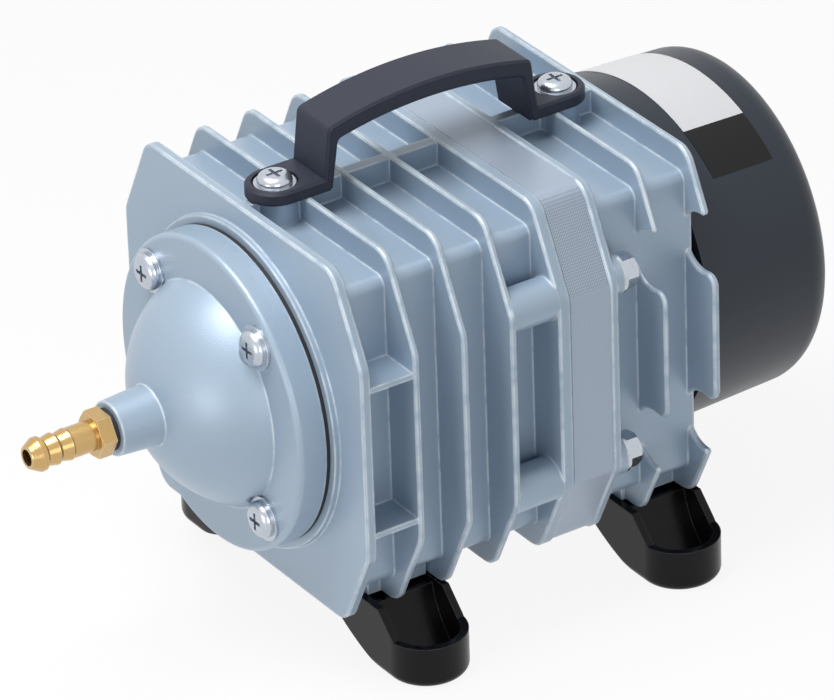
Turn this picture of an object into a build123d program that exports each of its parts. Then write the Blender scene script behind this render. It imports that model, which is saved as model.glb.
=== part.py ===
from build123d import *

import math
import os

os.makedirs("parts", exist_ok=True)

# A pond air pump: an electromagnet pulls a piston to and fro along Y.
# Stations along Y count from the front face of the front plate, heights from the pump axis.
# The last section moves everything so that the origin is under the middle, on the ground.

# Ribbed casting outline
PLATE_WIDTH = 118.0
PLATE_HEIGHT = 108.6
CORNER_CUT_X = 12.7
CORNER_CUT_Z = 25.6
CORNER_RADIUS = 7.0
EDGE_BREAK = 0.5
FRONT_PLATE = 3.2
FIN_THICKNESS = 2.0
FIN_GAP = 13.65
CASTING_FLANGE = 4.0
FIN_REACH_X = 13.2
FIN_REACH_Z = 7.5
CORE_RADIUS = 3.0
CORE_WALL = 4.5
BULKHEAD = 10.0

# Ribs and bosses on the castings
TOP_RIB = 3.4
SIDE_RIB = 1.7
SIDE_RIB_HEIGHT = 22.4
BOLT_INSET_X = 6.2
BOLT_INSET_Z = 26.3
BOLT_BOSS = 6.2
SPANNER_RADIUS = 8.7
SPANNER_CORNER = 3.5
SPANNER_TIP = 1.0
HANDLE_BOSS = 6.5
FOOT_PAD_X = 13.0
FOOT_PAD_LENGTH = 25.0

# Rear casting and laminations
STACK_LENGTH = 12.9
STACK_INSET = 0.35
REAR_FLANGE = 2.8
BOLT_PAD = 2.4
REAR_FIN_A = 1.6
REAR_FIN_B = 2.1
REAR_FIN_GAP = 14.8
REAR_BULKHEAD = 5.0
REAR_RECESS = 7.0
REAR_RECESS_RADIUS = 38.0
INTAKE_PORT_RADIUS = 4.5
INTAKE_PORT_CIRCLE = 25.0
INTAKE_PORTS = 6

# Outlet cover
PAD_MARGIN = 2.2
PAD_HEIGHT = 1.8
GASKET = 1.2
COVER_RIM = 8.5
COVER_FILLET = 1.5
COVER_EDGE = 7.8
COVER_WALL = 4.0
DOME_MARGIN = 9.5
DOME_HEIGHT = 19.3
OUTLET_BOSS_RADIUS = 7.9
OUTLET_BOSS_TAPER = 0.8
OUTLET_BOSS_LENGTH = 12.7
OUTLET_BOSS_EDGE = 0.4
COVER_SCREW_MARGIN = 5.0
SPOT_GAP = 0.3

# Brass hose barb
HEX_FLATS = 12.0
HEX_LENGTH = 4.5
BARB_LENGTH = 19.9
BARB_RADIUS = 4.9
BARB_RIDGE = 4.6
BARB_LAND = 4.4
BARB_GROOVE = 3.95
BARB_MOUTH = 3.4
BARB_CONE = 2.9
BARB_CREST = 1.2
BARB_PITCH = 4.1
BARB_BACK = 1.0
BARB_BORE = 2.4
BARB_THREAD = 4.7
BARB_THREAD_LENGTH = 8.0
SEAL_THICKNESS = 1.4

# Cylinder and piston
BORE_RADIUS = 20.0
LINER_WALL = 3.0
LINER_LENGTH = 43.0
CYLINDER_BOSS_WALL = 4.0
PISTON_LENGTH = 20.0
PISTON_SKIRT = 3.0
PISTON_CROWN = 5.0
PISTON_FRONT = 8.0
PISTON_RELIEF = 0.4
RING_WIDTH = 2.5
RING_DEPTH = 2.2
RUNNING_GAP = 0.05
ROD_RADIUS = 4.0
ROD_START = 15.0
ROD_END = 106.5
PISTON_BOSS = 7.5
STROKE_BACK = 8.0

# Rod bush and return spring
BUSH_WALL = 3.0
BUSH_LENGTH = 10.0
BUSH_LEAD = 4.0
BUSH_BOSS_WALL = 4.5
BOSS_FLOOR = 6.0
SPRING_RADIUS = 13.6
SPRING_WIRE = 0.9
SPRING_TURNS = 4
SPRING_CUP = 15.4
SPRING_CUP_THICKNESS = 1.5
SPRING_SEAT = 1.2

# Valves
VALVE_PLATE = 4.0
VALVE_PLATE_LAP = 3.3
VALVE_THICKNESS = 0.6
VALVE_RADIUS = 12.0
VALVE_LIFT = 1.5
PORT_RADIUS = 2.1
PORT_CIRCLE = 7.6
PORTS = 6
STOP_RADIUS = 8.0
STOP_THICKNESS = 1.2
VALVE_STUD = 2.0
VALVE_STUD_THREAD = 3.6
VALVE_SCREW_THREAD = 1.25
VALVE_SCREW_HEAD = 2.4
VALVE_SCREW_HEAD_HEIGHT = 1.6
VALVE_SCREWS = 4
INTAKE_VALVE_RADIUS = 15.6
INTAKE_LIFT = 1.2
CROWN_PORT_CIRCLE = 12.6

# Magnet
POLE_WIDTH = 26.0
WINDOW_LEDGE_X = 2.3
WINDOW_LEDGE_Z = 1.8
ARMATURE_HALF_HEIGHT = 15.2
MAGNET_GAP = 0.7
ARMATURE_LENGTH = 24.0
ARMATURE_LAG = 5.0
NUT_HEIGHT = 5.0
NUT_FLATS = 13.0
BOBBIN_WALL = 1.2
BOBBIN_FLANGE = 1.5
COIL_BUILD = 8.5

# Fasteners
COVER_THREAD = 2.5
COVER_HEAD = 5.3
COVER_HEAD_HEIGHT = 2.7
COVER_WASHER = 6.4
WASHER_THICKNESS = 1.0
TIE_THREAD = 2.5
TIE_FLATS = 9.0
TIE_HEAD_HEIGHT = 4.8
TIE_WASHER = 5.9
HANDLE_THREAD = 2.5
HANDLE_HEAD = 4.9
HANDLE_WASHER = 5.9
THREAD_DEPTH = 9.0
CROSS_WIDTH = 1.1
CROSS_REACH = 2.6
CROSS_DEPTH = 1.6

# Rear cap and filter
CAP_GAP = 2.4
CAP_FRONT_RADIUS = 50.6
CAP_DRAFT = 1.3
CAP_LENGTH = 44.2
CAP_WALL = 2.6
CAP_FILLET = 8.0
CAP_DISH_RADIUS = 34.0
CAP_DISH_DEPTH = 1.2
CAP_BOSS_RADIUS = 8.0
CAP_SINK_RADIUS = 5.0
CAP_SINK_DEPTH = 2.0
FILTER_OUTER = 41.0
FILTER_INNER = 31.0
CAP_POST_RADIUS = 4.5
CAP_THREAD = 2.0
CAP_HEAD = 3.9
CAP_HEAD_HEIGHT = 2.3

# Handle
HANDLE_WIDTH = 16.6
HANDLE_PITCH = 91.6
HANDLE_FRONT_SCREW = 12.4
HANDLE_FOOT = 3.6
HANDLE_LEG = 3.0
HANDLE_LEG_STATION = 10.6
HANDLE_LEAN = 2.2
HANDLE_SHOULDER = 18.6
HANDLE_CROWN = 23.0
HANDLE_BAND = 5.2
HANDLE_RECESS = 1.4

# Feet
FOOT_FRONT_STATION = 22.4
FOOT_PITCH = 84.5
FOOT_CUP_INSET = 7.2
FOOT_CUP_RADIUS = 11.7
FOOT_ROOT_X = 11.0
FOOT_WALL = 2.2
FOOT_DROP = 19.7
FOOT_CUP_DEPTH = 12.6
FOOT_ROOT = 4.8
FOOT_SCREW_X = 24.0
FOOT_FLOOR = 3.5
FOOT_BELLY = 2.6
FOOT_HEEL = 7.0
FOOT_SOLE_RADIUS = 2.5
FOOT_POCKET_GAP = 10.0
FOOT_CLAMP = 3.2

# Cable entry
GLAND_Z = -8.0
GLAND_THREAD = 5.0
GLAND_FLATS = 12.4
GLAND_BORE = 3.3
GLAND_HEX = 4.0
GLAND_DOME = 6.5
GLAND_DOME_RADIUS = 5.6

# General clearances
SLIP = 0.05
SEAT = 0.1

# Stations along Y that follow from the sizes above
HALF_W = PLATE_WIDTH / 2
HALF_H = PLATE_HEIGHT / 2
CORE_HALF_W = HALF_W - FIN_REACH_X
CORE_HALF_H = HALF_H - FIN_REACH_Z
WINDOW_HALF_WIDTH = CORE_HALF_W - CORE_WALL - WINDOW_LEDGE_X
WINDOW_HALF_HEIGHT = CORE_HALF_H - CORE_WALL - WINDOW_LEDGE_Z
BOLT_X = HALF_W - BOLT_INSET_X
BOLT_Z = HALF_H - BOLT_INSET_Z
FIN_STATIONS = [FRONT_PLATE + FIN_GAP + i * (FIN_THICKNESS + FIN_GAP) for i in range(3)]
FLANGE_Y = FIN_STATIONS[-1] + FIN_THICKNESS + FIN_GAP
FRONT_CASTING_END = FLANGE_Y + CASTING_FLANGE
STACK_END = FRONT_CASTING_END + STACK_LENGTH
STACK_MIDDLE = (FRONT_CASTING_END + STACK_END) / 2
REAR_FLANGE_END = STACK_END + REAR_FLANGE
REAR_A_Y = REAR_FLANGE_END + REAR_FIN_GAP
REAR_B_Y = REAR_A_Y + REAR_FIN_A + REAR_FIN_GAP
REAR_CASTING_END = REAR_B_Y + REAR_FIN_B
REAR_WALL_Y = REAR_CASTING_END - REAR_RECESS - REAR_BULKHEAD
CAP_FRONT = REAR_CASTING_END + CAP_GAP
CAP_END = CAP_FRONT + CAP_LENGTH
PAD_FACE = -PAD_HEIGHT
GASKET_FACE = PAD_FACE - GASKET
COVER_FACE = GASKET_FACE - COVER_RIM
DOME_TOP = COVER_FACE - DOME_HEIGHT
BOSS_MOUTH = DOME_TOP - OUTLET_BOSS_LENGTH
HEX_BACK = BOSS_MOUTH - SEAL_THICKNESS
BARB_TIP = HEX_BACK - HEX_LENGTH - BARB_LENGTH
LINER_START = PAD_FACE + VALVE_PLATE + SEAT
LINER_RADIUS = BORE_RADIUS + LINER_WALL
DOME_RADIUS = LINER_RADIUS + DOME_MARGIN
COVER_OPENING = DOME_RADIUS - COVER_WALL
COVER_SCREW_CIRCLE = DOME_RADIUS + COVER_SCREW_MARGIN
COVER_RADIUS = COVER_SCREW_CIRCLE + COVER_EDGE
PAD_RADIUS = COVER_RADIUS + PAD_MARGIN
VALVE_PLATE_RADIUS = COVER_OPENING + VALVE_PLATE_LAP
VALVE_SCREW_CIRCLE = (LINER_RADIUS + COVER_OPENING) / 2
PISTON_RADIUS = BORE_RADIUS - PISTON_RELIEF
ARMATURE_START = STACK_MIDDLE - ARMATURE_LAG - ARMATURE_LENGTH / 2
ARMATURE_END = ARMATURE_START + ARMATURE_LENGTH
HANDLE_REAR_SCREW = HANDLE_FRONT_SCREW + HANDLE_PITCH
HANDLE_MIDDLE = HANDLE_FRONT_SCREW + HANDLE_PITCH / 2
FOOT_STATIONS = [FOOT_FRONT_STATION, FOOT_FRONT_STATION + FOOT_PITCH]
FOOT_CUP_X = HALF_W - FOOT_CUP_INSET
GROUND = -HALF_H - FOOT_DROP
GLAND_Y = (REAR_FLANGE_END + REAR_A_Y) / 2
BUSH_RADIUS = ROD_RADIUS + RUNNING_GAP + BUSH_WALL
BUSH_START = REAR_WALL_Y - BUSH_LEAD
BUSH_END = BUSH_START + BUSH_LENGTH
BUSH_BOSS_END = ROD_END + STROKE_BACK + BOSS_FLOOR + THREAD_DEPTH / 2
SPRING_START = ARMATURE_END + SPRING_CUP_THICKNESS
SPRING_END = REAR_WALL_Y - SPRING_SEAT

# The finished model's origin, seen from the pump axis at the front plate
ORIGIN_Y = (BARB_TIP + CAP_END) / 2
TO_ORIGIN = Pos(0, -ORIGIN_Y, -GROUND)


def slab(sketch, start, end):
    """A sketch in X and Z, drawn out along Y from one station to another."""
    return extrude(Plane.XZ.offset(-start) * sketch, -(end - start))


def round_bar(radius, start, end, x=0.0, z=0.0):
    """A cylinder along Y."""
    return slab(Pos(x, z) * Circle(radius), start, end)


def tube(outer, inner, start, end):
    """A ring or sleeve on the pump axis."""
    return slab(Circle(outer) - Circle(inner), start, end)


def hex_bar(flats, start, end, x=0.0, z=0.0):
    """A hexagonal bar along Y, by its distance across flats."""
    hexagon = RegularPolygon(flats / 2, 6, major_radius=False)
    return slab(Pos(x, z) * hexagon, start, end)


def turned(profile):
    """A closed outline of (radius, station) pairs, turned about the pump axis."""
    return revolve(make_face(profile), Axis.Y, 360)


def rounded_corner(start, end, corner):
    """A quarter circle between two points, bulging towards the square corner it replaces."""
    centre = [a + b - c for a, b, c in zip(start, end, corner)]
    middle = [m + (c - m) * math.sqrt(0.5) for m, c in zip(centre, corner)]
    return ThreePointArc(start, tuple(middle), end)


def upright(radius, low, high, x, y):
    """A cylinder along Z."""
    return extrude(Plane.XY.offset(low) * Pos(x, y) * Circle(radius), high - low)


def casting_outline(inset=0.0):
    """The eight-sided outline that plates, fins, flanges and laminations share."""
    w = HALF_W - inset
    h = HALF_H - inset
    corner = [(w, h - CORNER_CUT_Z), (w - CORNER_CUT_X, h)]
    points = corner + [(-x, z) for x, z in reversed(corner)]
    points += [(-x, -z) for x, z in corner] + [(x, -z) for x, z in reversed(corner)]
    outline = Polygon(*points, align=None)
    return fillet(outline.vertices(), CORNER_RADIUS)


def rounded_box(half_width, half_height, radius):
    """A rounded rectangle about the pump axis."""
    return RectangleRounded(2 * half_width, 2 * half_height, radius)


def broken_edges(sheet, start, thickness):
    """A flat sketch made into a plate whose edges are broken on both faces."""
    body = slab(sheet, start, start + thickness)
    rims = body.faces().sort_by(Axis.Y)
    edges = rims[0].edges() + rims[-1].edges()
    return chamfer(edges, min(EDGE_BREAK, thickness / 3))


def plate(start, thickness):
    """One plate or fin with broken edges."""
    return broken_edges(casting_outline(), start, thickness)


def bolt_places():
    """The four tie bolts, as (x, z)."""
    return [(sx * BOLT_X, sz * BOLT_Z) for sx in (1, -1) for sz in (1, -1)]


def cover_screw_places():
    """The four cover screws, as (x, z)."""
    half = COVER_SCREW_CIRCLE / math.sqrt(2)
    return [(sx * half, sz * half) for sx in (1, -1) for sz in (1, -1)]


def port_places(count, circle):
    """Ports spaced evenly on a circle, as (x, z)."""
    angles = [2 * math.pi * i / count for i in range(count)]
    return [(circle * math.cos(a), circle * math.sin(a)) for a in angles]


def top_rib(start, end):
    """The long rib on the roof of a casting."""
    low = CORE_HALF_H - CORE_WALL / 2
    rib = Pos(0, (HALF_H - EDGE_BREAK + low) / 2) * Rectangle(TOP_RIB, HALF_H - EDGE_BREAK - low)
    return slab(rib, start, end)


def handle_boss(station):
    """The upright boss that a handle screw goes into."""
    return upright(HANDLE_BOSS, CORE_HALF_H - CORE_WALL / 2, HALF_H, 0, station)


def foot_pads(station):
    """The two cast pads that the feet are screwed to, flush with the fins."""
    low = -HALF_H
    high = -CORE_HALF_H + CORE_WALL / 2
    width = 2 * FOOT_CUP_RADIUS - 2 * FOOT_WALL
    pad = Box(FOOT_PAD_LENGTH, width, high - low, align=(Align.MIN, Align.CENTER, Align.MIN))
    right = Pos(FOOT_PAD_X, station, low) * pad
    return right + mirror(right, Plane.YZ)


def foot_screw_holes(station):
    """Threaded holes up into the foot pads."""
    holes = [
        upright(COVER_THREAD, -HALF_H, -HALF_H + THREAD_DEPTH, sx * FOOT_SCREW_X, station)
        for sx in (1, -1)
    ]
    return holes[0] + holes[1]


def front_housing():
    """The ribbed front casting with the cylinder boss inside."""
    body = plate(0, FRONT_PLATE)
    for station in FIN_STATIONS:
        body += plate(station, FIN_THICKNESS)
    body += plate(FLANGE_Y, CASTING_FLANGE)
    body += slab(rounded_box(CORE_HALF_W, CORE_HALF_H, CORE_RADIUS), EDGE_BREAK, FRONT_CASTING_END)
    body += round_bar(PAD_RADIUS, PAD_FACE, FRONT_PLATE / 2)
    body += top_rib(FRONT_PLATE / 2, FLANGE_Y + CASTING_FLANGE / 2)
    body += handle_boss(HANDLE_FRONT_SCREW)
    body += foot_pads(FOOT_STATIONS[0])
    rib = Rectangle(PLATE_WIDTH - 2 * EDGE_BREAK, SIDE_RIB)
    for side in (1, -1):
        body += slab(Pos(0, side * SIDE_RIB_HEIGHT) * rib, FRONT_PLATE / 2, FIN_STATIONS[0] + EDGE_BREAK)
    boss_start = FIN_STATIONS[-1] + FIN_THICKNESS / 2
    for x, z in bolt_places():
        body += round_bar(BOLT_BOSS, boss_start, FLANGE_Y + EDGE_BREAK, x, z)
    pocket = slab(
        rounded_box(CORE_HALF_W - CORE_WALL, CORE_HALF_H - CORE_WALL, CORE_RADIUS),
        BULKHEAD,
        FRONT_CASTING_END,
    )
    body -= pocket
    cylinder_end = LINER_START + LINER_LENGTH
    body += round_bar(LINER_RADIUS + CYLINDER_BOSS_WALL, BULKHEAD - 1, cylinder_end)
    body -= round_bar(VALVE_PLATE_RADIUS + SLIP, PAD_FACE, PAD_FACE + VALVE_PLATE)
    body -= round_bar(LINER_RADIUS + SLIP, PAD_FACE, cylinder_end)
    for x, z in cover_screw_places():
        body -= round_bar(COVER_THREAD, PAD_FACE, PAD_FACE + THREAD_DEPTH, x, z)
    for x, z in bolt_places():
        body -= round_bar(TIE_THREAD, boss_start + FIN_THICKNESS, FRONT_CASTING_END, x, z)
    body -= upright(HANDLE_THREAD, HALF_H - THREAD_DEPTH, HALF_H, 0, HANDLE_FRONT_SCREW)
    body -= foot_screw_holes(FOOT_STATIONS[0])
    for x, z in port_places(VALVE_SCREWS, VALVE_SCREW_CIRCLE):
        body -= round_bar(VALVE_SCREW_THREAD, PAD_FACE + VALVE_PLATE, BULKHEAD - 1, x, z)
    return body


def rear_fin(start, thickness):
    """A rear fin, cut away round each bolt so that a spanner fits, with rounded corners."""
    sheet = casting_outline()
    for x, z in bolt_places():
        sheet -= Pos(x, z) * Circle(SPANNER_RADIUS)
    for radius, far in ((SPANNER_CORNER, True), (SPANNER_TIP, False)):
        for x, z in bolt_places():
            near_bolt = [v for v in sheet.vertices() if math.dist((v.X, v.Y), (x, z)) < SPANNER_RADIUS + SLIP]
            corners = [v for v in near_bolt if (abs(v.Y) < abs(z)) == far]
            sheet = fillet(corners, radius)
    return broken_edges(sheet, start, thickness)


def rear_housing():
    """The rear casting: flange, body, two fins and the intake bulkhead."""
    body = plate(STACK_END, REAR_FLANGE)
    for x, z in bolt_places():
        body += round_bar(TIE_WASHER, STACK_END + REAR_FLANGE / 2, REAR_FLANGE_END + BOLT_PAD, x, z)
    body += rear_fin(REAR_A_Y, REAR_FIN_A)
    body += rear_fin(REAR_B_Y, REAR_FIN_B)
    body += slab(rounded_box(CORE_HALF_W, CORE_HALF_H, CORE_RADIUS), STACK_END, REAR_CASTING_END)
    body += top_rib(STACK_END + REAR_FLANGE / 2, REAR_B_Y + EDGE_BREAK)
    body += handle_boss(HANDLE_REAR_SCREW)
    body += foot_pads(FOOT_STATIONS[1])
    body -= slab(
        rounded_box(CORE_HALF_W - CORE_WALL, CORE_HALF_H - CORE_WALL, CORE_RADIUS),
        STACK_END,
        REAR_WALL_Y,
    )
    body -= round_bar(REAR_RECESS_RADIUS, REAR_CASTING_END - REAR_RECESS, REAR_CASTING_END)
    body += round_bar(BUSH_RADIUS + BUSH_BOSS_WALL, BUSH_START, BUSH_BOSS_END)
    body -= round_bar(BUSH_RADIUS + SLIP, BUSH_START, BUSH_END)
    body -= round_bar(ROD_RADIUS + 1, BUSH_END, ROD_END + STROKE_BACK + 1)
    body -= round_bar(CAP_THREAD, BUSH_BOSS_END - THREAD_DEPTH / 2, BUSH_BOSS_END)
    for x, z in port_places(INTAKE_PORTS, INTAKE_PORT_CIRCLE):
        body -= round_bar(INTAKE_PORT_RADIUS, REAR_WALL_Y, REAR_WALL_Y + REAR_BULKHEAD, x, z)
    for x, z in bolt_places():
        body -= round_bar(TIE_THREAD + SLIP, STACK_END, REAR_FLANGE_END + BOLT_PAD, x, z)
    body -= upright(HANDLE_THREAD, HALF_H - THREAD_DEPTH, HALF_H, 0, HANDLE_REAR_SCREW)
    body -= foot_screw_holes(FOOT_STATIONS[1])
    body -= crosswise(Circle(GLAND_THREAD + SLIP), CORE_HALF_W - CORE_WALL - 1, CORE_HALF_W + 1)
    return body


def crosswise(sketch, near, far):
    """A sketch at the cable entry, drawn out sideways between two distances from the axis."""
    side = Plane((-near, GLAND_Y, GLAND_Z), x_dir=(0, 1, 0), z_dir=(-1, 0, 0))
    return extrude(side * sketch, far - near)


def dome(foot, neck):
    """The arc of the dome between two radii, on the sphere about the outer dome's centre."""
    top = OUTLET_BOSS_RADIUS + OUTLET_BOSS_TAPER
    depth = (DOME_RADIUS**2 - top**2 - DOME_HEIGHT**2) / (2 * DOME_HEIGHT)
    ball = math.hypot(foot, depth)
    radii = (foot, (foot + neck) / 2, neck)
    return ThreePointArc(*[(r, COVER_FACE + depth - math.sqrt(ball**2 - r**2)) for r in radii])


def outlet_cover():
    """The die-cast cover: a rim with a soft edge, a dome and the boss for the outlet."""
    r, face = COVER_RADIUS, COVER_FACE
    edge, lip = COVER_FILLET, OUTLET_BOSS_EDGE
    boss, bore = OUTLET_BOSS_RADIUS, BARB_THREAD + SLIP
    outer = dome(DOME_RADIUS, boss + OUTLET_BOSS_TAPER)
    inner = dome(COVER_OPENING, bore)
    outline = [
        Line((r, GASKET_FACE), (r, face + edge)),
        rounded_corner((r, face + edge), (r - edge, face), (r, face)),
        Line((r - edge, face), outer @ 0),
        outer,
        Line(outer @ 1, (boss, BOSS_MOUTH + lip)),
        rounded_corner((boss, BOSS_MOUTH + lip), (boss - lip, BOSS_MOUTH), (boss, BOSS_MOUTH)),
        Line((boss - lip, BOSS_MOUTH), (bore, BOSS_MOUTH)),
        Line((bore, BOSS_MOUTH), inner @ 1),
        inner,
        Line(inner @ 0, (COVER_OPENING, GASKET_FACE)),
        Line((COVER_OPENING, GASKET_FACE), (r, GASKET_FACE)),
    ]
    body = turned(outline)
    for x, z in cover_screw_places():
        body -= round_bar(COVER_WASHER + SPOT_GAP, COVER_FACE - DOME_HEIGHT / 2, COVER_FACE, x, z)
        body -= round_bar(COVER_THREAD + SLIP, COVER_FACE, GASKET_FACE, x, z)
    return body


def cover_gasket():
    """The flat ring that seals the cover."""
    ring = tube(COVER_RADIUS - SEAT, COVER_OPENING, GASKET_FACE, PAD_FACE)
    for x, z in cover_screw_places():
        ring -= round_bar(COVER_THREAD + SLIP, GASKET_FACE, PAD_FACE, x, z)
    return ring


def cross_recess(width, reach, depth):
    """The cross-shaped driver recess of a screw head, cut down from z = 0."""
    bar = Rectangle(2 * reach, width)
    return extrude(bar + Rot(0, 0, 90) * bar, -depth)


def pan_screw(thread, head, head_height, length):
    """A cross-head screw pointing down -Z, with the underside of its head at z = 0."""
    crown = head * 0.55
    outline = [
        Line((0, 0), (head, 0)),
        Line((head, 0), (head, head_height * 0.35)),
        ThreePointArc(
            (head, head_height * 0.35),
            (head * 0.86, head_height * 0.78),
            (crown, head_height),
        ),
        Line((crown, head_height), (0, head_height)),
        Line((0, head_height), (0, 0)),
    ]
    screw = revolve(Plane.XZ * make_face(outline), Axis.Z, 360)
    screw -= Pos(0, 0, head_height) * cross_recess(CROSS_WIDTH, CROSS_REACH, CROSS_DEPTH)
    return screw + Pos(0, 0, -length / 2) * Cylinder(thread - SLIP, length)


def washer(outer, hole, thickness=WASHER_THICKNESS):
    """A flat washer standing on z = 0."""
    disc = Circle(outer) - Circle(hole)
    return extrude(disc, thickness)


def facing_front(shape, station, x=0.0, z=0.0):
    """Turns an upright shape so that its +Z points out of the front, and places it."""
    return Pos(x, station, z) * Rot(90, 0, 0) * shape


def cover_screws():
    """The four pan-head screws of the cover."""
    length = WASHER_THICKNESS + COVER_RIM + GASKET + THREAD_DEPTH - 1
    screw = pan_screw(COVER_THREAD, COVER_HEAD, COVER_HEAD_HEIGHT, length)
    head_seat = COVER_FACE - WASHER_THICKNESS
    return [facing_front(screw, head_seat, x, z) for x, z in cover_screw_places()]


def cover_washers():
    """The washers under the cover screws."""
    ring = washer(COVER_WASHER, COVER_THREAD + SLIP)
    return [facing_front(ring, COVER_FACE, x, z) for x, z in cover_screw_places()]


def outlet_barb():
    """The brass hose barb: thread, hex collar and a ridged stem with an open bore."""
    stem_start = HEX_BACK - HEX_LENGTH
    crest = BARB_TIP + BARB_CONE + BARB_CREST
    inner_end = BOSS_MOUTH + BARB_THREAD_LENGTH
    outline = [(BARB_BORE, inner_end), (BARB_THREAD, inner_end), (BARB_THREAD, HEX_BACK)]
    outline += [(BARB_LAND, HEX_BACK), (BARB_LAND, crest + 2 * BARB_PITCH + BARB_BACK / 2)]
    for i in (2, 1):
        outline.append((BARB_RIDGE, crest + i * BARB_PITCH))
        outline.append((BARB_GROOVE, crest + (i - 1) * BARB_PITCH + BARB_BACK))
    outline += [(BARB_RADIUS, crest), (BARB_RADIUS, BARB_TIP + BARB_CONE)]
    outline += [(BARB_MOUTH, BARB_TIP + EDGE_BREAK / 2), (BARB_MOUTH - EDGE_BREAK / 2, BARB_TIP)]
    outline.append((BARB_BORE, BARB_TIP))
    body = turned(Polyline(*outline, close=True))
    collar = hex_bar(HEX_FLATS, stem_start, HEX_BACK)
    chamfered = Cone(HEX_FLATS * 0.5, HEX_FLATS * 0.5 + 1.7 * HEX_LENGTH, HEX_LENGTH)
    collar &= Pos(0, (stem_start + HEX_BACK) / 2, 0) * Rot(-90, 0, 0) * chamfered
    return body + collar


def barb_seal():
    """The dark sealing ring between the boss and the hex collar."""
    return tube(HEX_FLATS / 2, BARB_THREAD + SLIP, HEX_BACK, BOSS_MOUTH)


def valve_plate():
    """The ported plate that closes the cylinder and carries the discharge valve."""
    body = round_bar(VALVE_PLATE_RADIUS, PAD_FACE, PAD_FACE + VALVE_PLATE)
    for x, z in port_places(PORTS, PORT_CIRCLE):
        body -= round_bar(PORT_RADIUS, PAD_FACE, PAD_FACE + VALVE_PLATE, x, z)
    body -= round_bar(VALVE_STUD, PAD_FACE, PAD_FACE + VALVE_STUD_THREAD)
    for x, z in port_places(VALVE_SCREWS, VALVE_SCREW_CIRCLE):
        body -= round_bar(VALVE_SCREW_THREAD, PAD_FACE, PAD_FACE + VALVE_PLATE, x, z)
    return body


def valve_plate_screws():
    """Four small screws that hold the valve plate in its seat."""
    length = VALVE_PLATE + BULKHEAD / 2
    shank = extrude(Circle(VALVE_SCREW_THREAD - SLIP), -length)
    screw = shank + extrude(Circle(VALVE_SCREW_HEAD), VALVE_SCREW_HEAD_HEIGHT)
    places = port_places(VALVE_SCREWS, VALVE_SCREW_CIRCLE)
    return [facing_front(screw, PAD_FACE, x, z) for x, z in places]


def valve_disc(radius, seat):
    """A thin disc valve lying on a seat that faces the front."""
    return tube(radius, VALVE_STUD + RUNNING_GAP, seat - SLIP - VALVE_THICKNESS, seat - SLIP)


def valve_stop(seat, lift, depth):
    """The stud that guides a disc valve and the dished stop that ends its lift."""
    stop_back = seat - 2 * SLIP - VALVE_THICKNESS - lift
    stop = round_bar(STOP_RADIUS, stop_back - STOP_THICKNESS, stop_back)
    rim = stop.faces().sort_by(Axis.Y)[0].edges()
    stop = chamfer(rim, STOP_THICKNESS / 2)
    return stop + round_bar(VALVE_STUD, stop_back, seat) + round_bar(VALVE_STUD - SLIP, seat, seat + depth)


def cylinder_liner():
    """The hard sleeve that the piston runs in."""
    return tube(LINER_RADIUS, BORE_RADIUS, LINER_START, LINER_START + LINER_LENGTH)


def piston():
    """The piston: ported crown, ring groove, hollow skirt and a boss for the rod."""
    end = PISTON_FRONT + PISTON_LENGTH
    crown_back = PISTON_FRONT + PISTON_CROWN
    body = round_bar(PISTON_RADIUS, PISTON_FRONT, end)
    body -= round_bar(PISTON_RADIUS - PISTON_SKIRT, crown_back, end)
    body += round_bar(PISTON_BOSS, crown_back, end - PISTON_CROWN)
    body -= round_bar(ROD_RADIUS + SLIP, ROD_START, end)
    groove = PISTON_RADIUS - RING_DEPTH
    body -= tube(PISTON_RADIUS + 1, groove, crown_back - SLIP, crown_back + RING_WIDTH + SLIP)
    body -= round_bar(VALVE_STUD, PISTON_FRONT, PISTON_FRONT + VALVE_STUD_THREAD)
    for x, z in port_places(PORTS, CROWN_PORT_CIRCLE):
        body -= round_bar(PORT_RADIUS, PISTON_FRONT, crown_back, x, z)
    return body


def piston_ring():
    """The sliding ring in the piston's groove."""
    crown_back = PISTON_FRONT + PISTON_CROWN
    inner = PISTON_RADIUS - RING_DEPTH + SLIP
    return tube(BORE_RADIUS - RUNNING_GAP, inner, crown_back, crown_back + RING_WIDTH)


def piston_rod():
    """The rod from the piston through the armature to the rear bush."""
    return round_bar(ROD_RADIUS, ROD_START, ROD_END)


def armature():
    """The block that the magnet pulls, clamped on the rod."""
    block = Rectangle(POLE_WIDTH, 2 * ARMATURE_HALF_HEIGHT) - Circle(ROD_RADIUS + SLIP)
    return slab(block, ARMATURE_START, ARMATURE_END)


def armature_nuts():
    """Two nuts that clamp the armature and the spring cup on the rod."""
    starts = [ARMATURE_START - NUT_HEIGHT, SPRING_START]
    bore = ROD_RADIUS + SLIP
    return [hex_bar(NUT_FLATS, y, y + NUT_HEIGHT) - round_bar(bore, y, y + NUT_HEIGHT) for y in starts]


def spring_cup():
    """The disc on the armature that the return spring pushes."""
    return tube(SPRING_CUP, ROD_RADIUS + SLIP, ARMATURE_END, SPRING_START)


def spring_seat():
    """The ring on the rear bulkhead that the return spring stands on."""
    hole = BUSH_RADIUS + BUSH_BOSS_WALL + SLIP
    return tube(SPRING_CUP, hole, SPRING_END, REAR_WALL_Y)


def return_spring():
    """The coil spring that pushes the armature forward."""
    start = SPRING_START + SPRING_WIRE + SEAT
    length = SPRING_END - SEAT - SPRING_WIRE - start
    path = Helix(length / SPRING_TURNS, length, SPRING_RADIUS)
    section = Plane(path @ 0, z_dir=path % 0) * Circle(SPRING_WIRE)
    coil = sweep(section, path)
    return Pos(0, start, 0) * Rot(-90, 0, 0) * coil


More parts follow.
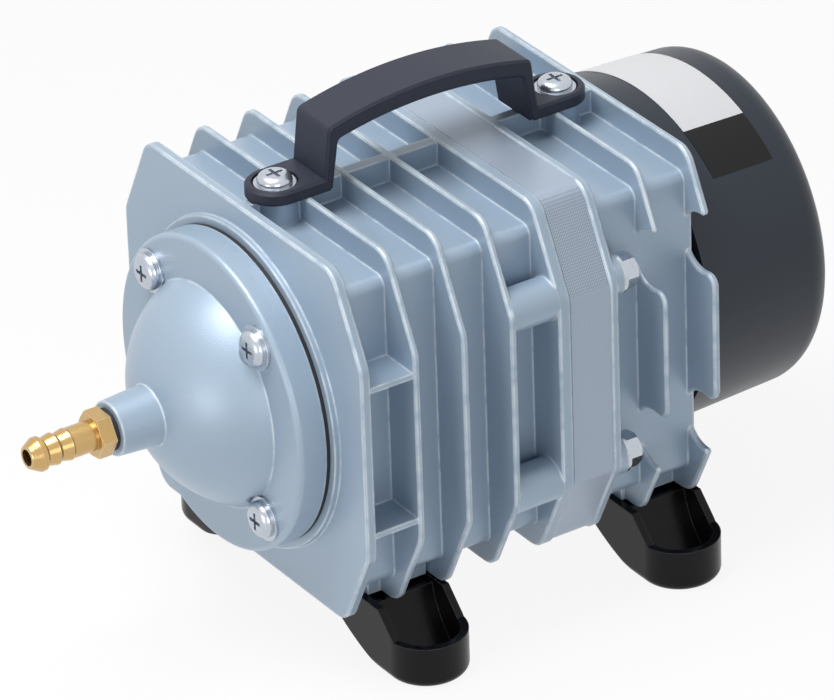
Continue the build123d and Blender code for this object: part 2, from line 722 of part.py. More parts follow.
def rod_bush():
    """The plain bearing that guides the end of the rod."""
    return tube(BUSH_RADIUS, ROD_RADIUS + RUNNING_GAP, BUSH_START, BUSH_END)


def stator_core():
    """The lamination stack: a window with an upper and a lower pole, and four bolt holes."""
    window = RectangleRounded(2 * WINDOW_HALF_WIDTH, 2 * WINDOW_HALF_HEIGHT, CORE_RADIUS)
    reach = ARMATURE_HALF_HEIGHT + MAGNET_GAP
    sheet = casting_outline(STACK_INSET) - window
    for side in (1, -1):
        middle = side * (reach + WINDOW_HALF_HEIGHT) / 2
        sheet += Pos(0, middle) * Rectangle(POLE_WIDTH, WINDOW_HALF_HEIGHT - reach)
    for x, z in bolt_places():
        sheet -= Pos(x, z) * Circle(TIE_THREAD + SLIP)
    return slab(sheet, FRONT_CASTING_END, STACK_END)


def coil_ring(side, low, high, inner, outer):
    """A rectangular ring round one pole, between two heights."""
    width = POLE_WIDTH + 2 * SEAT
    depth = STACK_LENGTH + 2 * SEAT
    hole = RectangleRounded(width + 2 * inner, depth + 2 * inner, max(inner, SEAT))
    ring = RectangleRounded(width + 2 * outer, depth + 2 * outer, outer) - hole
    band = extrude(Plane.XY.offset(low) * Pos(0, STACK_MIDDLE) * ring, high - low)
    return band if side > 0 else mirror(band, Plane.XY)


def coil_bobbin(side):
    """The moulded former on one pole, a sleeve with a flange at each end."""
    low = ARMATURE_HALF_HEIGHT + MAGNET_GAP + SEAT
    high = WINDOW_HALF_HEIGHT - SEAT
    rim = BOBBIN_WALL + COIL_BUILD + BOBBIN_FLANGE
    sleeve = coil_ring(side, low, high, 0, BOBBIN_WALL)
    inner_flange = coil_ring(side, low, low + BOBBIN_FLANGE, 0, rim)
    return sleeve + inner_flange + coil_ring(side, high - BOBBIN_FLANGE, high, 0, rim)


def coil_winding(side):
    """The copper winding on one bobbin."""
    low = ARMATURE_HALF_HEIGHT + MAGNET_GAP + BOBBIN_FLANGE + 2 * SEAT
    high = WINDOW_HALF_HEIGHT - BOBBIN_FLANGE - 2 * SEAT
    return coil_ring(side, low, high, BOBBIN_WALL + SLIP, BOBBIN_WALL + COIL_BUILD)


def tie_bolts():
    """Four hexagon bolts that clamp the castings and the stack."""
    seat = REAR_FLANGE_END + BOLT_PAD + WASHER_THICKNESS
    front = FIN_STATIONS[-1] + 1.5 * FIN_THICKNESS + 1
    bolts = []
    for x, z in bolt_places():
        head = hex_bar(TIE_FLATS, seat, seat + TIE_HEAD_HEIGHT, x, z)
        crown = Cone(TIE_FLATS / 2 + TIE_HEAD_HEIGHT, TIE_FLATS / 2 - 0.2, TIE_HEAD_HEIGHT)
        head &= Pos(x, seat + TIE_HEAD_HEIGHT / 2, z) * Rot(-90, 0, 0) * crown
        bolts.append(head + round_bar(TIE_THREAD - SLIP, front, seat, x, z))
    return bolts


def tie_washers():
    """The washers under the tie bolts' heads."""
    seat = REAR_FLANGE_END + BOLT_PAD
    ring = Circle(TIE_WASHER) - Circle(TIE_THREAD)
    return [slab(Pos(x, z) * ring, seat, seat + WASHER_THICKNESS) for x, z in bolt_places()]


def rear_cap():
    """The plastic cup over the air filter, with a large soft edge and a dished end."""
    r0, r1 = CAP_FRONT_RADIUS, CAP_FRONT_RADIUS - CAP_DRAFT
    edge, wall = CAP_FILLET, CAP_WALL
    dish = CAP_END - CAP_DISH_DEPTH
    floor = dish - wall
    inside = r1 - wall
    in_edge = edge - wall
    bore = CAP_THREAD + SLIP
    outline = [
        Line((r0, CAP_FRONT), (r1, CAP_END - edge)),
        rounded_corner((r1, CAP_END - edge), (r1 - edge, CAP_END), (r1, CAP_END)),
        Line((r1 - edge, CAP_END), (CAP_DISH_RADIUS, CAP_END)),
        Line((CAP_DISH_RADIUS, CAP_END), (CAP_DISH_RADIUS - CAP_DISH_DEPTH, dish)),
        Line((CAP_DISH_RADIUS - CAP_DISH_DEPTH, dish), (CAP_SINK_RADIUS, dish)),
        Line((CAP_SINK_RADIUS, dish), (CAP_SINK_RADIUS, dish - CAP_SINK_DEPTH)),
        Line((CAP_SINK_RADIUS, dish - CAP_SINK_DEPTH), (bore, dish - CAP_SINK_DEPTH)),
        Line((bore, dish - CAP_SINK_DEPTH), (bore, floor - wall)),
        Line((bore, floor - wall), (CAP_BOSS_RADIUS, floor - wall)),
        Line((CAP_BOSS_RADIUS, floor - wall), (CAP_BOSS_RADIUS, floor)),
        Line((CAP_BOSS_RADIUS, floor), (inside - in_edge, floor)),
        rounded_corner((inside - in_edge, floor), (inside, floor - in_edge), (inside, floor)),
        Line((inside, floor - in_edge), (r0 - wall, CAP_FRONT)),
        Line((r0 - wall, CAP_FRONT), (r0, CAP_FRONT)),
    ]
    return turned(outline)


def cap_post():
    """The hexagonal spacer that holds the cap off the casting."""
    end = CAP_END - CAP_DISH_DEPTH - 2 * CAP_WALL
    post = hex_bar(2 * CAP_POST_RADIUS, BUSH_BOSS_END, end)
    post -= round_bar(CAP_THREAD, end - THREAD_DEPTH, end)
    return post + round_bar(CAP_THREAD - SLIP, BUSH_BOSS_END - THREAD_DEPTH / 3, BUSH_BOSS_END)


def cap_screw():
    """The cross-head screw in the middle of the cap."""
    length = 2 * CAP_WALL - CAP_SINK_DEPTH + THREAD_DEPTH - 1
    screw = pan_screw(CAP_THREAD, CAP_HEAD, CAP_HEAD_HEIGHT, length)
    return Pos(0, CAP_END - CAP_DISH_DEPTH - CAP_SINK_DEPTH, 0) * Rot(-90, 0, 0) * screw


def air_filter():
    """The foam ring that the intake air passes through."""
    floor = CAP_END - CAP_DISH_DEPTH - CAP_WALL
    return tube(FILTER_OUTER, FILTER_INNER, REAR_CASTING_END + SEAT, floor - SEAT)


def cable_gland():
    """The gland in the side wall, with an open bore for a cord."""
    inside = CORE_HALF_W - CORE_WALL - 1
    body = crosswise(Circle(GLAND_THREAD), inside, CORE_HALF_W)
    hexagon = Rot(0, 0, 30) * RegularPolygon(GLAND_FLATS / 2, 6, major_radius=False)
    hex_end = CORE_HALF_W + GLAND_HEX
    body += crosswise(hexagon, CORE_HALF_W, hex_end)
    dome_end = hex_end + GLAND_DOME
    nose = crosswise(Circle(GLAND_DOME_RADIUS), hex_end, dome_end)
    rim = nose.faces().sort_by(Axis.X)[0].edges()
    body += fillet(rim, GLAND_DOME_RADIUS / 4)
    return body - crosswise(Circle(GLAND_BORE), inside, dome_end)


def handle():
    """The strap handle: an arched band on two legs, each with an eye for its screw."""
    base, middle = HALF_H, HANDLE_MIDDLE
    foot = HANDLE_PITCH / 2 - HANDLE_LEG_STATION
    top = foot - HANDLE_LEAN
    shoulder, crown = base + HANDLE_SHOULDER, base + HANDLE_CROWN
    inner = top - HANDLE_LEG
    under = shoulder - HANDLE_BAND + 0.8
    half = [Line((middle - foot, base), (middle - top, shoulder))]
    half += [ThreePointArc((middle - top, shoulder), (middle, crown), (middle + top, shoulder))]
    half += [Line((middle + top, shoulder), (middle + foot, base))]
    half += [Line((middle + foot, base), (middle + foot - HANDLE_LEG, base))]
    half += [Line((middle + foot - HANDLE_LEG, base), (middle + inner, under))]
    half += [ThreePointArc((middle + inner, under), (middle, crown - HANDLE_BAND), (middle - inner, under))]
    half += [Line((middle - inner, under), (middle - foot + HANDLE_LEG, base))]
    half += [Line((middle - foot + HANDLE_LEG, base), (middle - foot, base))]
    face = make_face(half)
    corners = face.vertices().filter_by(lambda v: v.Y > base + HANDLE_FOOT)
    face = fillet(corners, HANDLE_LEG * 0.7)
    strap = extrude(Plane.YZ * face, HANDLE_WIDTH / 2, both=True)
    sides = strap.faces().filter_by(Axis.X)
    strap = chamfer(sides[0].edges() + sides[-1].edges(), 0.7)
    for side in (-1, 1):
        strap += handle_eye(side)
    for side in (-1, 1):
        y = middle + side * HANDLE_PITCH / 2
        recess = base + HANDLE_FOOT - HANDLE_RECESS
        strap -= upright(HANDLE_WASHER + 0.5, recess, base + HANDLE_FOOT + 1, 0, y)
        strap -= upright(HANDLE_THREAD + SLIP, base, recess, 0, y)
    return strap


def handle_eye(side):
    """One end of the handle: a tongue with a round end."""
    y = HANDLE_MIDDLE + side * HANDLE_PITCH / 2
    length = HANDLE_LEG_STATION + HANDLE_LEG - 1
    tongue = Rectangle(HANDLE_WIDTH, length)
    shape = Pos(0, y - side * length / 2) * tongue + Pos(0, y) * Circle(HANDLE_WIDTH / 2)
    eye = extrude(Plane.XY.offset(HALF_H) * shape, HANDLE_FOOT)
    rim = eye.faces().sort_by(Axis.Z)[-1].edges()
    return chamfer(rim, 0.7)


def handle_screws():
    """The two screws of the handle."""
    seat = HALF_H + HANDLE_FOOT - HANDLE_RECESS + WASHER_THICKNESS
    length = seat - HALF_H + THREAD_DEPTH - 1
    screw = pan_screw(HANDLE_THREAD, HANDLE_HEAD, COVER_HEAD_HEIGHT, length)
    return [Pos(0, y, seat) * screw for y in (HANDLE_FRONT_SCREW, HANDLE_REAR_SCREW)]


def handle_washers():
    """The two washers of the handle."""
    seat = HALF_H + HANDLE_FOOT - HANDLE_RECESS
    ring = washer(HANDLE_WASHER, HANDLE_THREAD)
    return [Pos(0, y, seat) * ring for y in (HANDLE_FRONT_SCREW, HANDLE_REAR_SCREW)]


def foot_blank(inset, root, floor, top_extra):
    """A foot's outline from above crossed with its side profile, set in by a wall."""
    low, roof = GROUND + floor, -HALF_H + top_extra
    rim = GROUND + FOOT_CUP_DEPTH + top_extra
    start = -HALF_H - FOOT_ROOT + floor
    tip = FOOT_CUP_X + FOOT_CUP_RADIUS + 1
    heel = FOOT_CUP_X - 2
    knee = FOOT_CUP_X - FOOT_CUP_RADIUS / 2
    drop = roof - rim
    bend = root + FOOT_HEEL
    belly = ((heel + bend) / 2, (low + start) / 2 - FOOT_BELLY)
    side = [
        Line((root, roof), (knee, roof)),
        Line((knee, roof), (knee + drop, rim)),
        Line((knee + drop, rim), (tip, rim)),
        Line((tip, rim), (tip, low)),
        Line((tip, low), (heel, low)),
        ThreePointArc((heel, low), belly, (bend, start)),
        Line((bend, start), (root, start)),
        Line((root, start), (root, roof)),
    ]
    profile = extrude(Plane.XZ * make_face(side), FOOT_CUP_RADIUS, both=True)
    radius = FOOT_CUP_RADIUS - inset
    plan = Pos(FOOT_CUP_X, 0) * Circle(radius)
    plan += Pos((FOOT_CUP_X + root) / 2, 0) * Rectangle(FOOT_CUP_X - root, 2 * radius)
    return profile & extrude(Plane.XY.offset(GROUND) * plan, 2 * FOOT_DROP)


def foot(side, station):
    """A rubber foot: a scooped arm that slants out and down to a round cup."""
    body = foot_blank(0, FOOT_ROOT_X, 0, 0)
    sole = body.faces().sort_by(Axis.Z)[0].edges()
    body = fillet(sole, FOOT_SOLE_RADIUS)
    body -= foot_blank(FOOT_WALL, FOOT_SCREW_X + FOOT_POCKET_GAP, FOOT_FLOOR, 1)
    seat = -HALF_H - FOOT_CLAMP
    body -= upright(COVER_THREAD + SLIP, seat, -HALF_H, FOOT_SCREW_X, 0)
    body -= upright(COVER_WASHER + 0.5, GROUND, seat, FOOT_SCREW_X, 0)
    body = Pos(0, station, 0) * body
    return body if side > 0 else mirror(body, Plane.YZ)


def foot_fixings(shape, level):
    """A copy of a fastener at each foot, turned to point up into the casting."""
    places = [(sx * FOOT_SCREW_X, y) for sx in (1, -1) for y in FOOT_STATIONS]
    return [Pos(x, y, level) * Rot(180, 0, 0) * shape for x, y in places]


def foot_screws():
    """The screws that hold the feet from below."""
    seat = -HALF_H - FOOT_CLAMP - WASHER_THICKNESS
    length = WASHER_THICKNESS + FOOT_CLAMP + THREAD_DEPTH - 1
    screw = pan_screw(COVER_THREAD, COVER_HEAD, COVER_HEAD_HEIGHT, length)
    return foot_fixings(screw, seat)


def foot_washers():
    """The washers under the foot screws."""
    return foot_fixings(washer(COVER_WASHER, COVER_THREAD), -HALF_H - FOOT_CLAMP)


def write(node, shape):
    """Writes one node in the finished position."""
    pieces = shape if isinstance(shape, list) else [shape]
    placed = [TO_ORIGIN * piece for piece in pieces]
    whole = placed[0] if len(placed) == 1 else Compound(children=placed)
    export_step(whole, f"parts/{node}.step")


SINGLE_PIECES = {
    "front_housing": front_housing,
    "cylinder_liner": cylinder_liner,
    "outlet_cover": outlet_cover,
    "cover_gasket": cover_gasket,
    "cover_screws": cover_screws,
    "cover_washers": cover_washers,
    "outlet_barb": outlet_barb,
    "barb_seal": barb_seal,
    "valve_plate": valve_plate,
    "valve_plate_screws": valve_plate_screws,
    "piston": piston,
    "piston_ring": piston_ring,
    "piston_rod": piston_rod,
    "armature": armature,
    "armature_nuts": armature_nuts,
    "spring_cup": spring_cup,
    "spring_seat": spring_seat,
    "return_spring": return_spring,
    "rod_bush": rod_bush,
    "stator_core": stator_core,
    "rear_housing": rear_housing,
    "tie_bolts": tie_bolts,
    "tie_washers": tie_washers,
    "rear_cap": rear_cap,
    "cap_post": cap_post,
    "cap_screw": cap_screw,
    "air_filter": air_filter,
    "cable_gland": cable_gland,
    "handle": handle,
    "handle_screws": handle_screws,
    "handle_washers": handle_washers,
    "foot_screws": foot_screws,
    "foot_washers": foot_washers,
}

for node_name, build in SINGLE_PIECES.items():
    write(node_name, build())

write("discharge_valve", valve_disc(VALVE_RADIUS, PAD_FACE))
write("discharge_stop", valve_stop(PAD_FACE, VALVE_LIFT, VALVE_STUD_THREAD))
write("intake_valve", valve_disc(INTAKE_VALVE_RADIUS, PISTON_FRONT))
write("intake_stop", valve_stop(PISTON_FRONT, INTAKE_LIFT, VALVE_STUD_THREAD))

for name, sign in (("upper", 1), ("lower", -1)):
    write(f"{name}_bobbin", coil_bobbin(sign))
    write(f"{name}_winding", coil_winding(sign))

for end_name, y_station in zip(("front", "rear"), FOOT_STATIONS):
    for side_name, sign in (("right", 1), ("left", -1)):
        write(f"{end_name}_{side_name}_foot", foot(sign, y_station))
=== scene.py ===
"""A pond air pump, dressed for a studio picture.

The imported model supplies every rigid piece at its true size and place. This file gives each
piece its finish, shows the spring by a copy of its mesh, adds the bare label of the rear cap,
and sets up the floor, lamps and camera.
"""

from __future__ import annotations

import logging
import math
from dataclasses import dataclass, field
from enum import Enum
from typing import Any, Optional, Union

import bmesh
import bpy
from mathutils import Matrix, Vector

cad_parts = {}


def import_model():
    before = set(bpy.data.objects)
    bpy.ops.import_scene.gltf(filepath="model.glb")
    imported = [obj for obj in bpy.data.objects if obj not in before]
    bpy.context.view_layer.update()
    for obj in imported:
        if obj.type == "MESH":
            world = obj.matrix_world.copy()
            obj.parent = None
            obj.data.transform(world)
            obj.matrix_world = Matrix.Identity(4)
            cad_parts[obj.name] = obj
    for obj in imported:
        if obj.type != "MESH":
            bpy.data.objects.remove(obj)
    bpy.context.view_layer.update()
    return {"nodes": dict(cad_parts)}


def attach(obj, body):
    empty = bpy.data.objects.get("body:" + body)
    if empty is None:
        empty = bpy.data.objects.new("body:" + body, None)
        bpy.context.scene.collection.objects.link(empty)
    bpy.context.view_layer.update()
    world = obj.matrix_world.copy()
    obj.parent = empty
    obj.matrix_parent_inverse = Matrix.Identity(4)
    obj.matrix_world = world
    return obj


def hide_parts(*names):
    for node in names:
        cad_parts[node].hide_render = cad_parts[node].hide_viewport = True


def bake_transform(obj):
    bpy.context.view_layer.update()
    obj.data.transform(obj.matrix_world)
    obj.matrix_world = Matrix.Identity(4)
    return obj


LOG = logging.getLogger("pond_air_pump")

MM = 0.001
ORIGIN_STATION = 47.05
AXIS_HEIGHT = 74.0

Colour = tuple[float, float, float]
Point = tuple[float, float, float]


class Body(Enum):
    """The moving groups that a piece can belong to."""

    PUMP = "pump"
    PISTON = "piston"


class Signal:
    """A shader socket that behaves like a number in Python expressions."""

    def __init__(self, graph: "Graph", socket: bpy.types.NodeSocket) -> None:
        """Wraps a socket.

        Args:
            graph: The graph that the socket belongs to.
            socket: The output to read from.
        """
        self.graph = graph
        self.socket = socket

    def _math(self, operation: str, first: "Number", second: "Number") -> "Signal":
        """Adds one Math node.

        Args:
            operation: The node's operation.
            first: Its first value.
            second: Its second value.

        Returns:
            The result.
        """
        return self.graph.add("ShaderNodeMath", {"operation": operation}, {0: first, 1: second})

    def __add__(self, other: "Number") -> "Signal":
        """Sum."""
        return self._math("ADD", self, other)

    def __radd__(self, other: "Number") -> "Signal":
        """Sum with a number on the left."""
        return self._math("ADD", other, self)

    def __sub__(self, other: "Number") -> "Signal":
        """Difference."""
        return self._math("SUBTRACT", self, other)

    def __rsub__(self, other: "Number") -> "Signal":
        """Difference with a number on the left."""
        return self._math("SUBTRACT", other, self)

    def __mul__(self, other: "Number") -> "Signal":
        """Product."""
        return self._math("MULTIPLY", self, other)

    def __rmul__(self, other: "Number") -> "Signal":
        """Product with a number on the left."""
        return self._math("MULTIPLY", other, self)

    def __abs__(self) -> "Signal":
        """Distance from zero."""
        return self._math("ABSOLUTE", self, 0.0)

    def wave(self) -> "Signal":
        """The sine of this signal."""
        return self._math("SINE", self, 0.0)

    def either(self, other: "Number") -> "Signal":
        """The larger of two signals."""
        return self._math("MAXIMUM", self, other)

    def step(self, low: float, high: float) -> "Signal":
        """A soft step from 0 to 1.

        Args:
            low: Where the step starts.
            high: Where it ends.

        Returns:
            The step.
        """
        values = {"Value": self, "From Min": low, "From Max": high}
        return self.graph.add(
            "ShaderNodeMapRange", {"interpolation_type": "SMOOTHSTEP"}, values, "Result"
        )


Number = Union[Signal, float]


class Graph:
    """The nodes of one material or of the world."""

    def __init__(self, tree: bpy.types.NodeTree) -> None:
        """Starts on a node tree.

        Args:
            tree: The tree to add nodes to.
        """
        self.tree = tree

    def feed(self, socket: bpy.types.NodeSocket, value: Any) -> None:
        """Links a signal to a socket, or sets its value.

        Args:
            socket: The input.
            value: A signal, number, colour or vector.
        """
        if isinstance(value, Signal):
            self.tree.links.new(value.socket, socket)
        elif isinstance(value, tuple) and socket.type == "RGBA" and len(value) == 3:
            socket.default_value = (*value, 1.0)
        else:
            socket.default_value = value

    def add(
        self,
        kind: str,
        settings: Optional[dict[str, Any]] = None,
        sockets: Optional[dict[Union[int, str], Any]] = None,
        out: Union[int, str] = 0,
    ) -> Signal:
        """Adds any node.

        Args:
            kind: The node's type.
            settings: Its own settings, set before its sockets.
            sockets: Values or signals for its inputs, by name or number.
            out: Which output to return.

        Returns:
            That output.
        """
        node = self.tree.nodes.new(kind)
        for key, value in (settings or {}).items():
            setattr(node, key, value)
        for key, value in (sockets or {}).items():
            self.feed(node.inputs[key], value)
        return Signal(self, node.outputs[out])

    def background_rays(self) -> Signal:
        """1 for the rays of the camera and of mirrors and glass, and 0 for light on the object."""
        camera, glossy, clear = (
            self.add("ShaderNodeLightPath", out=name)
            for name in ("Is Camera Ray", "Is Glossy Ray", "Is Transmission Ray")
        )
        return camera.either(glossy).either(clear)


class Surface(Graph):
    """The nodes of one material, round a Principled shader."""

    def __init__(self, name: str) -> None:
        """Starts a material.

        Args:
            name: The material's name.
        """
        self.material = bpy.data.materials.new(name)
        self.material.use_nodes = True
        super().__init__(self.material.node_tree)
        self.shader = self.tree.nodes["Principled BSDF"]
        self.output = self.tree.nodes["Material Output"]

    def place(self) -> Signal:
        """The position on the object, in metres."""
        return self.add("ShaderNodeTexCoord", out="Object")

    def along(self, axis: str) -> Signal:
        """One coordinate of the position.

        Args:
            axis: X, Y or Z.

        Returns:
            The coordinate in metres.
        """
        return self.add("ShaderNodeSeparateXYZ", None, {0: self.place()}, axis)

    def facing(self, axis: str) -> Signal:
        """How far the surface faces along an axis.

        Args:
            axis: X, Y or Z.

        Returns:
            From -1 to 1.
        """
        normal = self.add("ShaderNodeNewGeometry", out="Normal")
        return self.add("ShaderNodeSeparateXYZ", None, {0: normal}, axis)

    def noise(self, size: float, detail: float = 3.0, place: Optional[Signal] = None) -> Signal:
        """Smooth noise about 0.5.

        Args:
            size: The size of its lumps in metres.
            detail: How many finer layers it has.
            place: Where it is read, if not at the position.

        Returns:
            The noise.
        """
        sockets = {"Vector": place or self.place(), "Scale": 1.0 / size, "Detail": detail}
        return self.add("ShaderNodeTexNoise", None, sockets, "Fac")

    def stretched(self, factors: Point) -> Signal:
        """The position, stretched along each axis.

        Args:
            factors: The factor of each axis.

        Returns:
            The stretched position.
        """
        values = {0: self.place(), 1: factors}
        return self.add("ShaderNodeVectorMath", {"operation": "MULTIPLY"}, values)

    def mix(self, factor: Number, low: Any, high: Any) -> Signal:
        """Blends two colours.

        Args:
            factor: 0 for the first colour and 1 for the second.
            low: The first colour.
            high: The second colour.

        Returns:
            The blend.
        """
        values = {0: factor, 6: low, 7: high}
        return self.add("ShaderNodeMix", {"data_type": "RGBA"}, values, 2)

    def rounded(self, radius: float) -> Signal:
        """The normal of the surface with its edges rounded.

        Args:
            radius: The rounding's radius in metres.

        Returns:
            The normal.
        """
        return self.add("ShaderNodeBevel", {"samples": 4}, {"Radius": radius})

    def edge(self, radius: float, gain: float) -> Signal:
        """A mask of the outer edges, from how much a bevel would turn the surface.

        Args:
            radius: The width of the edge in metres.
            gain: How fast the mask fills.

        Returns:
            The mask.
        """
        flat = self.add("ShaderNodeNewGeometry", out="Normal")
        likeness = self.add(
            "ShaderNodeVectorMath",
            {"operation": "DOT_PRODUCT"},
            {0: self.rounded(radius), 1: flat},
            "Value",
        )
        return ((1.0 - likeness) * gain).step(0.0, 1.0)

    def bump(self, height: Signal, depth: float, base: Optional[Signal] = None) -> Signal:
        """Turns a height into a normal.

        Args:
            height: The height signal.
            depth: What a height of 1 stands for, in metres.
            base: The normal that it starts from, if not the surface's own.

        Returns:
            The normal.
        """
        values = {"Height": height, "Distance": depth}
        if base:
            values["Normal"] = base
        return self.add("ShaderNodeBump", None, values)

    def finish(self, **sockets: Any) -> bpy.types.Material:
        """Feeds the Principled shader.

        Args:
            **sockets: Its inputs, with underscores for spaces.

        Returns:
            The material.
        """
        for key, value in sockets.items():
            self.feed(self.shader.inputs[key.replace("_", " ")], value)
        return self.material


@dataclass(frozen=True)
class Finish:
    """A surface with a fine grain and soft patches."""

    name: str
    colour: Colour
    roughness: float
    metallic: float = 0.0
    grain: float = 0.6 * MM
    grain_depth: float = 0.03 * MM
    patch: float = 25 * MM
    variation: float = 0.12
    coat: float = 0.0
    coat_roughness: float = 0.25
    gloss: float = 0.5
    # The edge colour lies on rounded edges: painted edge highlights on most finishes, partly wear
    # on the casting, darker rims on the grip.
    edge_colour: Optional[Colour] = None
    edge_width: float = 0.35 * MM
    edge_gain: float = 5.0
    edge_wear_and_highlight_spread: float = 0.5
    softened: float = 0.0

    def shade(self, surface: Surface, base: Any) -> Any:
        """Adds the edge colour: painted edge highlights, partly wear on the casting, darker rims on
        the grip.

        Args:
            surface: The material's nodes.
            base: The colour before.

        Returns:
            The colour after.
        """
        if self.edge_colour is None:
            return base
        # Noise breaks the edge colour into patches; pale edges are painted highlights, on the
        # casting partly worn metal too.
        wear_and_highlight_patches = surface.noise(5 * MM, 4.0).step(0.5 - self.edge_wear_and_highlight_spread, 0.6)
        mask = surface.edge(self.edge_width, self.edge_gain) * wear_and_highlight_patches
        return surface.mix(mask * 0.85, base, self.edge_colour)

    def relief(self, surface: Surface) -> tuple[Signal, float]:
        """The fine relief.

        Args:
            surface: The material's nodes.

        Returns:
            Its height and its depth in metres.
        """
        return surface.noise(self.grain, 4.0), self.grain_depth

    def build(self) -> bpy.types.Material:
        """Builds the material."""
        surface = Surface(self.name)
        patch = surface.noise(self.patch, 4.0)
        fine = surface.noise(self.grain * 1.5, 2.0)
        tone = (patch - 0.5) * self.variation * 2 + (fine - 0.5) * self.variation * 6
        dark = tuple(c * (1 - self.variation) for c in self.colour)
        light = tuple(min(1.0, c * (1 + self.variation)) for c in self.colour)
        base = self.shade(surface, surface.mix(tone + 0.5, dark, light))
        rough = (patch - 0.5) * 0.16 + (fine - 0.5) * 0.14 + self.roughness
        height, depth = self.relief(surface)
        softened = surface.rounded(self.softened) if self.softened else None
        return surface.finish(
            Base_Color=base,
            Roughness=rough,
            Metallic=self.metallic,
            Specular_IOR_Level=self.gloss,
            Coat_Weight=self.coat,
            Coat_Roughness=self.coat_roughness,
            Normal=surface.bump(height, depth, softened),
        )


@dataclass(frozen=True)
class Laminations(Finish):
    """The edges of stacked steel sheets, which lie across the pump axis.

    The lines show most on the upper corners, which are ground with a fine cross pattern, and
    hardly at all on the flat top.
    """

    sheet: float = 0.52 * MM
    stroke: float = 0.75 * MM
    side_strength: float = 0.3
    top_strength: float = 0.06

    def strength(self, surface: Surface) -> tuple[Signal, Signal]:
        """How strongly the pattern shows here.

        Args:
            surface: The material's nodes.

        Returns:
            The mask of the ground corners, and the strength of the sheet lines.
        """
        up = surface.facing("Z")
        side = abs(surface.facing("X"))
        corner = up.step(0.2, 0.4) * (1.0 - up.step(0.9, 0.96))
        lines = side.step(0.9, 0.97) * self.side_strength + up.step(0.9, 0.96) * self.top_strength
        return corner, corner.either(lines)

    def shade(self, surface: Surface, base: Any) -> Any:
        """Darkens the joints between the sheets and the strokes across them."""
        corner, strength = self.strength(surface)
        turns = surface.along("Y") * (2 * math.pi / self.sheet)
        joint = turns.wave().step(0.1, 0.9) * strength
        strokes = (surface.along("Z") * (2 * math.pi / self.stroke)).wave().step(0.2, 0.9) * corner
        ground = surface.mix(joint * 0.6, base, tuple(c * 0.3 for c in self.colour))
        return surface.mix(strokes * 0.4, ground, tuple(c * 0.4 for c in self.colour))

    def relief(self, surface: Surface) -> tuple[Signal, float]:
        """The ridges of the sheets."""
        strength = self.strength(surface)[1]
        turns = surface.along("Y") * (2 * math.pi / self.sheet)
        return turns.wave() * -0.5 * strength + surface.noise(self.grain) * 0.6, self.grain_depth


@dataclass(frozen=True)
class Turned(Finish):
    """A turned surface with fine rings round the pump axis."""

    pitch: float = 0.22 * MM

    def relief(self, surface: Surface) -> tuple[Signal, float]:
        """The tool marks."""
        rings = (surface.along("Y") * (2 * math.pi / self.pitch)).wave()
        return rings * 0.3 + surface.noise(self.grain, 3.0), self.grain_depth


@dataclass(frozen=True)
class Wound(Finish):
    """Enamelled wire in close turns."""

    wire: float = 0.7 * MM

    def relief(self, surface: Surface) -> tuple[Signal, float]:
        """The crowns of the turns."""
        return abs((surface.along("Z") * (math.pi / self.wire)).wave()), self.grain_depth


@dataclass(frozen=True)
class Foam(Finish):
    """Open-celled foam."""

    cell: float = 1.3 * MM

    def relief(self, surface: Surface) -> tuple[Signal, float]:
        """The pores."""
        values = {"Vector": surface.place(), "Scale": 1.0 / self.cell}
        return surface.add("ShaderNodeTexVoronoi", None, values, "Distance"), self.grain_depth


CASTING = Finish(
    "die_cast_silver",
    (0.32, 0.41, 0.51),
    0.40,
    metallic=0.25,
    grain=0.4 * MM,
    grain_depth=0.055 * MM,
    variation=0.08,
    coat=0.25,
    coat_roughness=0.3,
    # pale edges: painted edge highlights along the fins and plates, partly bare worn metal
    edge_colour=(0.88, 0.93, 0.95),
    edge_width=1.0 * MM,
    edge_gain=9.0,
    edge_wear_and_highlight_spread=0.3,
    softened=0.7 * MM,
)
STEEL = Turned("ground_steel", (0.56, 0.57, 0.60), 0.3, metallic=1.0, variation=0.05)
ZINC = Finish(
    "bright_zinc",
    (0.52, 0.56, 0.62),
    0.26,
    metallic=0.95,
    grain=0.8 * MM,
    grain_depth=0.015 * MM,
    # near-white edges: painted edge highlights on the screws and washers
    edge_colour=(0.90, 0.92, 0.95),
    edge_width=0.3 * MM,
    softened=0.2 * MM,
)
BRASS = Turned(
    "turned_brass",
    (0.58, 0.38, 0.15),
    0.24,
    metallic=0.95,
    grain_depth=0.012 * MM,
    variation=0.08,
    coat=0.3,
    coat_roughness=0.15,
    # whitish edges: painted edge highlights on the turned brass
    edge_colour=(0.95, 0.84, 0.62),
    edge_width=0.3 * MM,
)
BRONZE = Turned("bearing_bronze", (0.55, 0.38, 0.16), 0.35, metallic=1.0)
SEAL = Finish("black_seal", (0.010, 0.010, 0.013), 0.55)
PISTON_ALLOY = Turned("machined_alloy", (0.62, 0.63, 0.66), 0.3, metallic=0.9)
SLIDE_RING = Finish("slide_ring", (0.16, 0.13, 0.10), 0.5)
SHEETS = Laminations(
    "lamination_edges",
    (0.37, 0.44, 0.54),
    0.36,
    metallic=0.35,
    grain=0.4 * MM,
    grain_depth=0.05 * MM,
    variation=0.06,
)
IRON = Finish("armature_iron", (0.12, 0.12, 0.13), 0.5, metallic=0.8)
BOBBIN = Finish("moulded_bobbin", (0.72, 0.68, 0.55), 0.5)
COPPER = Wound("copper_wire", (0.60, 0.22, 0.08), 0.3, metallic=0.9, grain_depth=0.25 * MM)
CAP = Finish(
    "slate_plastic",
    (0.017, 0.024, 0.036),
    0.36,
    grain=0.35 * MM,
    grain_depth=0.012 * MM,
    variation=0.1,
    gloss=0.4,
    # lighter edges: painted edge highlights on the dark cap
    edge_colour=(0.06, 0.07, 0.09),
)
